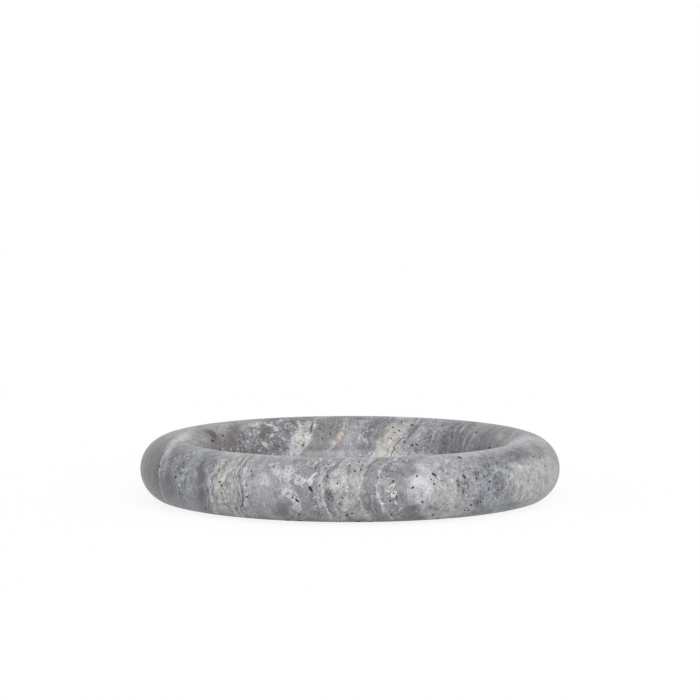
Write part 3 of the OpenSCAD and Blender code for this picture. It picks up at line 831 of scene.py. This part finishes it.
def honed_travertine():
    """The stone's material. All its patterns read the place in the stone, in millimetres."""
    material, tree = new_material("honed_travertine")
    place = add(tree, "TexCoord", out="Object")
    place = add(tree, "VectorMath", [place, 1000.0], operation="SCALE")

    def beds_of(at):
        """The place across the beds, along them and above the middle of the rim, as across_beds has it."""
        x, y, z = add(tree, "SeparateXYZ", [at]).node.outputs
        height = add(tree, "Math", [z, section_z * 1000], operation="SUBTRACT")
        lean = add(tree, "Math", [y, BED_TWIST / 1000, BED_LEAN], operation="MULTIPLY_ADD")
        beds = add(tree, "Math", [y, BED_SLANT, x], operation="MULTIPLY_ADD")
        beds = add(tree, "Math", [lean, height, beds], operation="MULTIPLY_ADD")
        along = add(tree, "Math", [x, -BED_SLANT, y], operation="MULTIPLY_ADD")
        return beds, along, height

    def laid_over(under, colour, mask, share):
        """The colour laid over the one under it, by mask * share."""
        strength = add(tree, "Math", [mask, share], operation="MULTIPLY")
        return add(tree, "Mix", [strength, under, colour], data_type="RGBA")

    def marks_of(kind, pattern, amount):
        """A mask that rises from 0 to most where the pattern passes its level, start + slope * amount."""
        start, slope, width, most = MARKS[kind]
        level = add(tree, "Math", [amount, slope, start], operation="MULTIPLY_ADD")
        past = add(tree, "Math", [level, width], operation="ADD")
        return add(tree, "MapRange", [pattern, level, past, 0.0, most], **SOFT_STEP)

    # the place in the stone, bent by a few millimetres: much for beds, less for seams and large
    # masses, and hardly for small masses
    bend = add(tree, "TexNoise", [place, *STONE_NOISES["bends"]], "Color")
    bend = add(tree, "VectorMath", [bend, (0.5, 0.5, 0.5)], operation="SUBTRACT")
    bent, near_bent, hardly_bent = [
        add(tree, "VectorMath", [bend, (reach_mm, reach_mm, reach_mm), place], operation="MULTIPLY_ADD")
        for reach_mm in BENT_MM]
    beds, along, height = beds_of(bent)
    bed_place = add(tree, "MapRange", [beds, BEDS_FROM_MM, BEDS_TO_MM])
    ragged = add(tree, "TexNoise", [place, *STONE_NOISES["ragged edges"]])
    ragged = add(tree, "Math", [ragged, 0.9, -0.45], operation="MULTIPLY_ADD")
    fine_ragged = add(tree, "TexNoise", [place, *STONE_NOISES["fine ragged edges"]])
    fine_ragged = add(tree, "Math", [fine_ragged, 1.5, -0.75], operation="MULTIPLY_ADD")

    # beds of the front, in two ramps, and beds of the back, which take over across the middle of the tray
    tone, character = bed_ramps(tree, bed_place, FRONT_BEDS, FRONT_ROW_PX)
    beds_right = bed_ramps(tree, bed_place, FRONT_BEDS_RIGHT, FRONT_ROW_PX)
    beds_back = bed_ramps(tree, bed_place, BACK_BEDS, BACK_ROW_PX)
    join = on_the_rim([(FRONT_BEDS_RIGHT[0][0], FRONT_ROW_PX)])
    join_mm = float(across_beds(join)[0]) * 1000
    right = add(tree, "MapRange", [beds, join_mm - 0.01, join_mm + 0.01])
    depth = add(tree, "SeparateXYZ", [bent], "Y")
    wander = add(tree, "TexNoise", [place, *STONE_NOISES["front into back"]])
    depth = add(tree, "Math", [wander, BACK_WANDER_MM, depth], operation="MULTIPLY_ADD")
    turned_back = add(tree, "MapRange", [depth, BACK_FROM_MM, BACK_TO_MM], **SOFT_STEP)
    for mask, (other_tone, other_character) in ((right, beds_right), (turned_back, beds_back)):
        tone = add(tree, "Mix", [mask, tone, other_tone], data_type="RGBA")
        character = add(tree, "Mix", [mask, character, other_character], data_type="RGBA")

    # masses, each a bent egg whose edge is ragged
    for spot, size, turned, tone_name, soft, strength, shares in seen_masses() + unseen_masses():
        small = min(size) < SMALL_MASS_MM
        egg = [hardly_bent if small else near_bent, spot, turned, np.array(size) * 2]
        egg = add(tree, "Mapping", egg, vector_type="TEXTURE")
        near = add(tree, "TexGradient", [egg], "Fac", gradient_type="SPHERICAL")
        edge = [near, -2.0, fine_ragged if small else ragged]
        edge = add(tree, "Math", edge, operation="MULTIPLY_ADD")
        mask = [edge, soft / 3 - 1.0, -1.0 - soft * 0.7, 0.0, strength]
        mask = add(tree, "MapRange", mask, **SOFT_STEP)
        tone = add(tree, "Mix", [mask, tone, TONES[tone_name]], data_type="RGBA")
        character = add(tree, "Mix", [mask, character, (*shares, 1.0)], data_type="RGBA")
    crystals, streaks, specks = add(tree, "SeparateColor", [character]).node.outputs

    # seams, each a bent sheet of even thickness that breaks off here and there
    seam_beds, _, seam_height = beds_of(near_bent)
    rise = add(tree, "Math", [seam_height, 1 / (2 * rim_r * 1000), 0.5], operation="MULTIPLY_ADD")
    front = add(tree, "Math", [1.0, turned_back], operation="SUBTRACT")
    broken = add(tree, "TexNoise", [place, *STONE_NOISES["broken seams"]])
    broken = add(tree, "MapRange", [broken, 0.34, 0.48, 0.5, 1.0], **SOFT_STEP)
    uneven = add(tree, "TexNoise", [place, *STONE_NOISES["uneven seams"]])
    uneven = add(tree, "MapRange", [uneven, 0.35, 0.65, 2.2, 0.55], **SOFT_STEP)
    for seams, side in ((FRONT_SEAMS, front), (BACK_SEAMS, turned_back)):
        share = add(tree, "Math", [side, broken], operation="MULTIPLY")
        for tone_name, half_mm, strength, pixels in seams:
            spots = on_the_rim(pixels)
            middles = across_beds(spots) * 1000
            rises = (spots[:, 2] - section_z) / (2 * rim_r) + 0.5
            middle = float(middles.mean())
            curve = add(tree, "FloatCurve", {"Value": rise})
            points = curve.node.mapping.curves[0].points
            bends = (middles - middle) / (2 * SEAM_WANDER_MM) + 0.5
            points[0].location = (rises[-1], bends[-1])
            points[1].location = (rises[0], bends[0])
            for inner in range(len(pixels) - 2, 0, -1):
                points.new(rises[inner], bends[inner])
            curve.node.mapping.update()
            away = add(tree, "Math", [seam_beds, middle - SEAM_WANDER_MM], operation="SUBTRACT")
            away = add(tree, "Math", [curve, -2 * SEAM_WANDER_MM, away], operation="MULTIPLY_ADD")
            away = add(tree, "Math", [away], operation="ABSOLUTE")
            away = add(tree, "Math", [away, uneven], operation="MULTIPLY")
            mask = [away, half_mm * 1.5, half_mm * 0.4, 0.0, strength]
            mask = add(tree, "MapRange", mask, **SOFT_STEP)
            tone = laid_over(tone, TONES[tone_name], mask, share)

    # old bed surfaces everywhere, as fine dark and pale lines that break off here and there
    present = add(tree, "TexNoise", [place, *STONE_NOISES["broken bed lines"]])
    present = add(tree, "MapRange", [present, 0.45, 0.6], **SOFT_STEP)
    for shift, half_apart, half_mm, share, tone_name in BED_LINES:
        line = add(tree, "Math", [beds, shift], operation="ADD")
        line = add(tree, "Math", [line, half_apart], operation="PINGPONG")
        line = add(tree, "MapRange", [line, half_mm, 0.2], **SOFT_STEP)
        line = add(tree, "Math", [line, present], operation="MULTIPLY")
        tone = laid_over(tone, TONES[tone_name], line, share)

    # fine streaks, 1.5 mm thick, 30 mm long and 20 mm high
    laminae = [
        add(tree, "Math", [part, 1 / length_mm], operation="MULTIPLY")
        for part, length_mm in ((beds, 1.5), (along, 30.0), (height, 20.0))]
    laminae = add(tree, "CombineXYZ", laminae)
    laminae = add(tree, "TexNoise", [laminae, 1.0, 2.0, 0.6])
    laminae = add(tree, "MapRange", [laminae, 0.4, 0.6, -0.5, 0.5], **SOFT_STEP)
    laminae = add(tree, "Math", [laminae, streaks], operation="MULTIPLY")

    # clouds, flakes and shades, mottling that is strongest in busy beds, and painted light that makes the
    # foot of the far wall paler
    clouds = add(tree, "TexNoise", [place, *STONE_NOISES["clouds"]])
    clouds = add(tree, "Math", [clouds, 0.5], operation="SUBTRACT")
    flakes = add(tree, "TexNoise", [bent, *STONE_NOISES["flakes"]])
    flakes = add(tree, "MapRange", [flakes, 0.53, 0.6], **SOFT_STEP)
    shades = add(tree, "TexNoise", [place, *STONE_NOISES["shades"]])
    shades = add(tree, "MapRange", [shades, 0.47, 0.38], **SOFT_STEP)
    mottle = add(tree, "TexNoise", [place, *STONE_NOISES["mottle"]])
    mottle = add(tree, "Math", [mottle, 0.5], operation="SUBTRACT")
    busy = add(tree, "Math", [streaks, 0.6], operation="MULTIPLY")
    for share in (crystals, specks):
        busy = add(tree, "Math", [busy, share], operation="MAXIMUM")
    busy = add(tree, "Math", [busy, 0.6, 0.5], operation="MULTIPLY_ADD")
    mottle = add(tree, "Math", [mottle, busy], operation="MULTIPLY")
    # painted light: the foot of the far wall is made paler, as though light from the dish floor fell on it
    painted_foot_light = add(tree, "MapRange", [seam_height, 7.0, -3.0], **SOFT_STEP)
    painted_foot_light = add(tree, "Math", [painted_foot_light, turned_back], operation="MULTIPLY")
    light = 1.0
    for part, share in (
            (laminae, 0.4), (clouds, 0.35), (flakes, 0.12), (shades, -0.14), (mottle, 4.2), (painted_foot_light, 0.26)):
        light = add(tree, "Math", [part, share, light], operation="MULTIPLY_ADD")
    colour = add(tree, "VectorMath", [tone, light], operation="SCALE")

    # white crystals: lacy clouds, small angular chips, a net of thin veins and flecks, with dark gaps
    lace = add(tree, "TexNoise", [bent, *STONE_NOISES["lace"]])
    lace = marks_of("lace", lace, crystals)
    cells = add(tree, "TexVoronoi", [bent, 1 / CHIP_MM], "Color")
    chips, gaps, _ = add(tree, "SeparateColor", [cells]).node.outputs
    chips = marks_of("chips", chips, crystals)
    gaps = marks_of("gaps", gaps, crystals)
    net = add(tree, "TexVoronoi", [bent, 1 / NET_MM], feature="DISTANCE_TO_EDGE")
    net = add(tree, "MapRange", [net, 0.1, 0.03], **SOFT_STEP)
    netted = add(tree, "MapRange", [crystals, 0.45, 0.9, 0.0, 0.8], **SOFT_STEP)
    net = add(tree, "Math", [net, netted], operation="MULTIPLY")
    flecks = add(tree, "TexNoise", [bent, *STONE_NOISES["flecks"]])
    flecks = marks_of("flecks", flecks, crystals)
    white = lace
    for mask in (chips, net, flecks):
        white = add(tree, "Math", [white, mask], operation="MAXIMUM")
    colour = laid_over(colour, TONES["lead"], gaps, 0.6)
    colour = laid_over(colour, TONES["snow"], white, 0.88)

    # dark specks: clay grains and pinholes about a millimetre across
    pinholes = add(tree, "TexNoise", [bent, *STONE_NOISES["specks"]])
    pinholes = marks_of("specks", pinholes, specks)
    colour = add(tree, "Mix", [pinholes, colour, TONES["soot"]], data_type="RGBA")

    # finest grain
    grain = add(tree, "TexNoise", [place, *STONE_NOISES["grain"]])
    grain = add(tree, "Math", [grain, 0.5], operation="SUBTRACT")
    light = add(tree, "Math", [grain, 0.52, 1.0], operation="MULTIPLY_ADD")
    colour = add(tree, "VectorMath", [colour, light], operation="SCALE")

    # painted shade darkens the lowest few millimetres of the honed skin towards the base, where the shadow
    # under the tray falls, and the base is only ground, so that it is paler and duller
    base_mm = stone_z * 1000
    ground = add(tree, "SeparateXYZ", [place], "Z")
    ground = add(tree, "MapRange", [ground, base_mm + 0.3, base_mm + 0.1], **SOFT_STEP)
    # painted shade: darker towards the base, standing for the shadow where the tray meets the floor
    painted_base_shade = add(tree, "SeparateXYZ", [bent], "Z")
    painted_base_shade = add(tree, "MapRange", [painted_base_shade, base_mm + BASE_SHADE_MM, base_mm, 0.0, 0.7], **SOFT_STEP)
    honed = add(tree, "Math", [1.0, ground], operation="SUBTRACT")
    colour = laid_over(colour, TONES["soot"], painted_base_shade, honed)
    colour = laid_over(colour, TONES["pearl"], ground, 0.3)

    # honed skin: a soft sheen, duller in the grain, and a few hundredths of a millimetre of relief
    roughness = add(tree, "Math", [grain, 0.3, 0.4], operation="MULTIPLY_ADD")
    roughness = add(tree, "Math", [ground, 0.35, roughness], operation="MULTIPLY_ADD")
    normal = add(tree, "Bump", {"Strength": 0.5, "Distance": 0.00012, "Height": grain})
    shader = add(tree, "BsdfPrincipled", {
        "Base Color": colour, "Roughness": roughness, "IOR": 1.5, "Normal": normal,
        "Coat Weight": 0.1, "Coat Roughness": 0.22})
    add(tree, "OutputMaterial", [shader])
    return material


def pore_wall_dirt_and_shade():
    """The broken inside of a pore: unhoned crystal with grains of half a millimetre, dull and dirty, and
    darkened further by painted shade in the hollow.
    """
    material, tree = new_material("pore_wall_dirt_and_shade")
    place = add(tree, "TexCoord", out="Object")
    grain = add(tree, "TexNoise", [place, 1800.0, 2.0])
    # painted shade: the pore wall's dark tones stand partly for the shade inside the hollow
    colour = add(tree, "Mix", [grain, linear("#3b393c"), linear("#7c7978")], data_type="RGBA")
    shader = add(tree, "BsdfPrincipled", {"Base Color": colour, "Roughness": 0.85})
    add(tree, "OutputMaterial", [shader])
    return material


stone_skin = honed_travertine()
pore_wall = pore_wall_dirt_and_shade()

pebbles = new_piece("pore_pebbles", *lumpy_pebbles(*pore_places()))
for piece in (stone, pebbles):
    piece.data.materials.append(stone_skin)
    piece.data.materials.append(pore_wall)
pebbles.data.polygons.foreach_set("material_index", np.ones(len(pebbles.data.polygons), np.int32))
cut = stone.modifiers.new("open_pores", "BOOLEAN")
cut.operation = "DIFFERENCE"
cut.solver = "MANIFOLD"
cut.object = pebbles
bpy.context.view_layer.update()
pored = bpy.data.meshes.new_from_object(stone.evaluated_get(bpy.context.evaluated_depsgraph_get()))
stone.modifiers.remove(cut)
stone.data = pored
bpy.data.objects.remove(pebbles)


def set_skin_shading(mesh):
    """Gives the honed skin the ideal tray's own normals and leaves the pores' broken walls flat."""
    count = len(mesh.polygons)
    kinds = np.empty(count, np.int32)
    mesh.polygons.foreach_get("material_index", kinds)
    centres = np.empty(count * 3)
    mesh.polygons.foreach_get("center", centres)
    flat = np.empty(count * 3)
    mesh.polygons.foreach_get("normal", flat)
    sizes = np.empty(count, np.int32)
    mesh.polygons.foreach_get("loop_total", sizes)
    corners = np.empty(len(mesh.loops), np.int32)
    mesh.loops.foreach_get("vertex_index", corners)
    points = np.empty(len(mesh.vertices) * 3)
    mesh.vertices.foreach_get("co", points)
    face = np.repeat(np.arange(count), sizes)
    centres = centres.reshape(-1, 3)[face]
    flat = flat.reshape(-1, 3)[face]
    smooth = skin_normals(points.reshape(-1, 3)[corners], centres)
    normals = np.where((kinds[face] == 0)[:, None], smooth, flat)
    mesh.polygons.foreach_set("use_smooth", np.ones(count, bool))
    mesh.normals_split_custom_set(normals.tolist())


set_skin_shading(stone.data)
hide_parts("stone_tray")
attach(stone, "root")

# Felt pads
# Four discs stamped out of sheets of pressed grey wool felt. Their cut edges bulge a little and stand out
# in short loose fibres. Each pad has its own lumps, and the weight of the stone keeps its underside flat.
PAD_SIDES = 64
FACE_RINGS = 7
EDGE_ROUND = 0.00035
EDGE_ROOM = 0.0002
BELLY_SHARE = 0.4
FELT_WAVES = 12
WAVES_SPREAD = 900
EDGE_LUMPS = 0.0003
DIMPLES = 0.00012
FIBRES = 260
FIBRE_R = 0.00002
FIBRE_LENGTHS = (0.0005, 0.0013)
FIBRE_SIDES = 3
FIBRE_TAPER = (1.0, 1.0, 0.8, 0.4)
felt_random = np.random.default_rng(7)


def felt_disc(middle, radius, low_z, high_z):
    """A turned disc with soft edges, pushed in and out by waves that run in all directions: the edge by
    up to a fifth of a millimetre, and the upper face, never the underside, by a few hundredths."""
    turn = np.linspace(0, math.pi / 2, 4)
    edge_r = radius - EDGE_ROUND - EDGE_ROOM
    upper = np.column_stack([edge_r + EDGE_ROUND * np.sin(turn), high_z - EDGE_ROUND * (1 - np.cos(turn))])
    lower = np.column_stack([edge_r + EDGE_ROUND * np.cos(turn), low_z + EDGE_ROUND * (1 - np.sin(turn))])
    face = np.linspace(0, edge_r, FACE_RINGS + 1)[:-1]
    belly = np.array([[radius - EDGE_ROOM / 2, low_z * (1 - BELLY_SHARE) + high_z * BELLY_SHARE]])
    profile = np.vstack([
        np.column_stack([face, np.full(FACE_RINGS, high_z)]), upper, belly, lower,
        np.column_stack([face[::-1], np.full(FACE_RINGS, low_z)]),
    ])
    points, faces = turned_solid(profile, PAD_SIDES)
    waves = felt_random.normal(0, WAVES_SPREAD, (3, FELT_WAVES))
    shift = felt_random.uniform(0, 2 * math.pi, (2, FELT_WAVES))
    lumps = np.sin(points @ waves + shift[0]).mean(1)
    dimples = np.sin(points @ waves * 1.7 + shift[1]).mean(1)
    from_axis = np.hypot(points[:, 0], points[:, 1])
    near_edge = np.clip(from_axis / edge_r, 0, 1) ** 6
    points[:, :2] *= 1 + (lumps * near_edge * EDGE_LUMPS / radius)[:, None]
    raised = (points[:, 2] - low_z) / (high_z - low_z)
    points[:, 2] -= np.abs(dimples) * raised ** 2 * DIMPLES
    return points + [middle.x, middle.y, 0], faces


def loose_fibres(middle, radius, low_z, high_z):
    """Short bent hairs on the cut edge. Each is a tube of three sides and four rings along a curve that
    starts just inside the edge and runs outwards with a sideways bend, closed at both ends."""
    angle = felt_random.uniform(0, 2 * math.pi, FIBRES)
    out = np.column_stack([np.cos(angle), np.sin(angle), np.zeros(FIBRES)])
    side = np.column_stack([-np.sin(angle), np.cos(angle), np.zeros(FIBRES)])
    up = np.array([0, 0, 1.0])
    root = out * (radius - 2 * EDGE_ROOM)
    root[:, 2] = felt_random.uniform(low_z + EDGE_ROOM, high_z - EDGE_ROOM, FIBRES)
    swing = felt_random.normal(0, 1.0, (FIBRES, 1))
    start_way = out + side * swing + up * felt_random.normal(0, 0.4, (FIBRES, 1))
    start_way /= np.linalg.norm(start_way, axis=1, keepdims=True)
    bend_way = side * felt_random.normal(0, 1.0, (FIBRES, 1))
    bend_way = bend_way + up * felt_random.normal(0, 0.7, (FIBRES, 1))
    length = felt_random.uniform(*FIBRE_LENGTHS, (FIBRES, 1))
    share = np.linspace(0, 1, len(FIBRE_TAPER))[:, None, None]
    line = root + start_way * length * share + bend_way * length * share ** 2 * 0.6
    line[..., 2] = np.clip(line[..., 2], low_z + 3 * FIBRE_R, high_z - 2 * FIBRE_R)
    first = np.cross(start_way, up)
    first /= np.linalg.norm(first, axis=1, keepdims=True)
    second = np.cross(start_way, first)
    corner = np.linspace(0, 2 * math.pi, FIBRE_SIDES, endpoint=False)[:, None, None]
    ring = (np.cos(corner) * first + np.sin(corner) * second) * FIBRE_R
    taper = np.array(FIBRE_TAPER)[:, None, None, None]
    points = (line[:, None] + ring[None] * taper).transpose(2, 0, 1, 3).reshape(-1, 3)
    walls, _ = ring_faces(len(FIBRE_TAPER), FIBRE_SIDES)
    corners = len(FIBRE_TAPER) * FIBRE_SIDES
    start = np.arange(FIBRES)[:, None, None] * corners
    walls = (start + walls).reshape(-1, 4)
    ends = (start + np.array([[0, 1, 2], [corners - 1, corners - 2, corners - 3]])).reshape(-1, 3)
    return points + [middle.x, middle.y, 0], walls.tolist() + ends.tolist()


def pressed_felt():
    """Dark grey wool, matted in lumps of 1.5 mm with hairs a quarter of a millimetre apart. It has no
    gloss, and its paler hairs catch the light at the edges."""
    material, tree = new_material("pressed_wool_felt")
    place = add(tree, "TexCoord", out="Object")
    matting = add(tree, "TexNoise", {"Vector": place, "Scale": 700.0, "Detail": 4.0, "Distortion": 1.5})
    hairs = add(tree, "TexNoise", [place, 3500.0, 2.0])
    shade = add(tree, "Math", [hairs, 0.5, matting], operation="MULTIPLY_ADD")
    shade = add(tree, "MapRange", [shade, 0.55, 0.95])
    colour = add(tree, "Mix", [shade, linear("#353437"), linear("#6f6e70")], data_type="RGBA")
    normal = add(tree, "Bump", {"Strength": 0.7, "Distance": 0.0001, "Height": hairs})
    shader = add(tree, "BsdfPrincipled", {
        "Base Color": colour, "Roughness": 0.95, "Specular IOR Level": 0.2, "Normal": normal,
        "Sheen Weight": 0.4, "Sheen Roughness": 0.5})
    add(tree, "OutputMaterial", [shader])
    return material


felt = pressed_felt()
CORNERS = ("front_right", "back_right", "back_left", "front_left")
for corner in CORNERS:
    low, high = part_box("felt_pad_" + corner)
    middle = (low + high) / 2
    radius = (high.x - low.x) / 2
    disc_points, disc_faces = felt_disc(middle, radius, low.z, high.z)
    hair_points, hair_faces = loose_fibres(middle, radius, low.z, high.z)
    hair_faces = [[vertex + len(disc_points) for vertex in face] for face in hair_faces]
    points = np.vstack([disc_points, hair_points])
    pad = new_piece("felt_pad_" + corner + "_cut", points, disc_faces + hair_faces)
    pad.data.polygons.foreach_set("use_smooth", np.ones(len(pad.data.polygons), bool))
    pad.data.materials.append(felt)
    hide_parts("felt_pad_" + corner)
    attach(pad, "root")

# Adhesive films
# A clear acrylic film on the back of each pad, a little smaller than the felt, that was pressed against the
# ground stone. It is yellowish and cloudy, with small trapped bubbles.


def acrylic_film():
    """Tacky film: milky, half clear and a little shiny, with clouds of 3 mm and bubbles of 1 mm."""
    material, tree = new_material("acrylic_adhesive_film")
    place = add(tree, "TexCoord", out="Object")
    cloud = add(tree, "TexNoise", [place, 350.0, 3.0])
    bubbles = add(tree, "TexVoronoi", [place, 900.0])
    bubbles = add(tree, "MapRange", [bubbles, 0.1, 0.25])
    colour = add(tree, "Mix", [cloud, linear("#b9b5a6"), linear("#dedbcf")], data_type="RGBA")
    normal = add(tree, "Bump", {"Strength": 0.5, "Distance": 0.00005, "Height": bubbles})
    shader = add(tree, "BsdfPrincipled", {
        "Base Color": colour, "Roughness": 0.25, "IOR": 1.47, "Transmission Weight": 0.35, "Normal": normal})
    add(tree, "OutputMaterial", [shader])
    return material


film = acrylic_film()
for corner in CORNERS:
    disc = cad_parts["adhesive_disc_" + corner]
    disc.data.materials.clear()
    disc.data.materials.append(film)

# Table and light
# A wide white sheet lies under the tray in an even tent of light, with one very wide soft light
# from the front. The sheet and the tent look white to the camera and in the stone's sheen, and
# the sheet keeps a faint shadow.
TENT_LIGHT = 0.45
TENT_TINT = (0.93, 0.965, 1.0, 1.0)
WHITE = (1.0, 1.0, 1.0, 1.0)
SHEET_R = 6.0
SHEET_SIDES = 96
SHEET_LIFT = 0.885
SUN_STRENGTH = 1.82
SUN_TINT = (1.0, 0.985, 0.96)
SUN_ELEVATION = math.radians(27)
SUN_TURN = math.radians(12)
SUN_WIDTH = math.radians(60)


def seen_or_mirrored(tree):
    """1 for what the camera sees directly, in a sheen or through something clear, and 0 for plain light."""
    rays = add(tree, "LightPath").node.outputs
    seen = add(tree, "Math", [rays["Is Camera Ray"], rays["Is Glossy Ray"]], operation="MAXIMUM")
    return add(tree, "Math", [seen, rays["Is Transmission Ray"]], operation="MAXIMUM")


angle = np.linspace(0, 2 * math.pi, SHEET_SIDES, endpoint=False)
edge = np.column_stack([SHEET_R * np.cos(angle), SHEET_R * np.sin(angle), np.zeros(SHEET_SIDES)])
sheet = new_piece("white_sheet", edge, [list(range(SHEET_SIDES))])
sheet_paper, tree = new_material("matt_white_paper")
plain = add(tree, "BsdfDiffuse", [linear("#dadada")])
shaded = add(tree, "BsdfDiffuse", [linear("#707070")])
lift = add(tree, "Emission", [WHITE, SHEET_LIFT])
lifted = add(tree, "AddShader", [shaded, lift])
shader = add(tree, "MixShader", [seen_or_mirrored(tree), plain, lifted])
add(tree, "OutputMaterial", [shader])
sheet.data.materials.append(sheet_paper)
sheet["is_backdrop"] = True

world = bpy.data.worlds.new("light_tent")
bpy.context.scene.world = world
world.use_nodes = True
tree = world.node_tree
tree.nodes.clear()
strength = add(tree, "MapRange", [seen_or_mirrored(tree), 0.0, 1.0, TENT_LIGHT, 1.0])
tint = add(tree, "Mix", [seen_or_mirrored(tree), TENT_TINT, WHITE], data_type="RGBA")
shader = add(tree, "Background", [tint, strength])
add(tree, "OutputWorld", [shader])

sun_data = bpy.data.lights.new("wide_front_light", "SUN")
sun_data.energy = SUN_STRENGTH
sun_data.angle = SUN_WIDTH
sun_data.color = SUN_TINT
sun = bpy.data.objects.new("wide_front_light", sun_data)
sun.rotation_euler = (math.pi / 2 - SUN_ELEVATION, 0, SUN_TURN)
bpy.context.scene.collection.objects.link(sun)

bpy.context.scene.view_settings.view_transform = "Standard"

low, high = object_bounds()
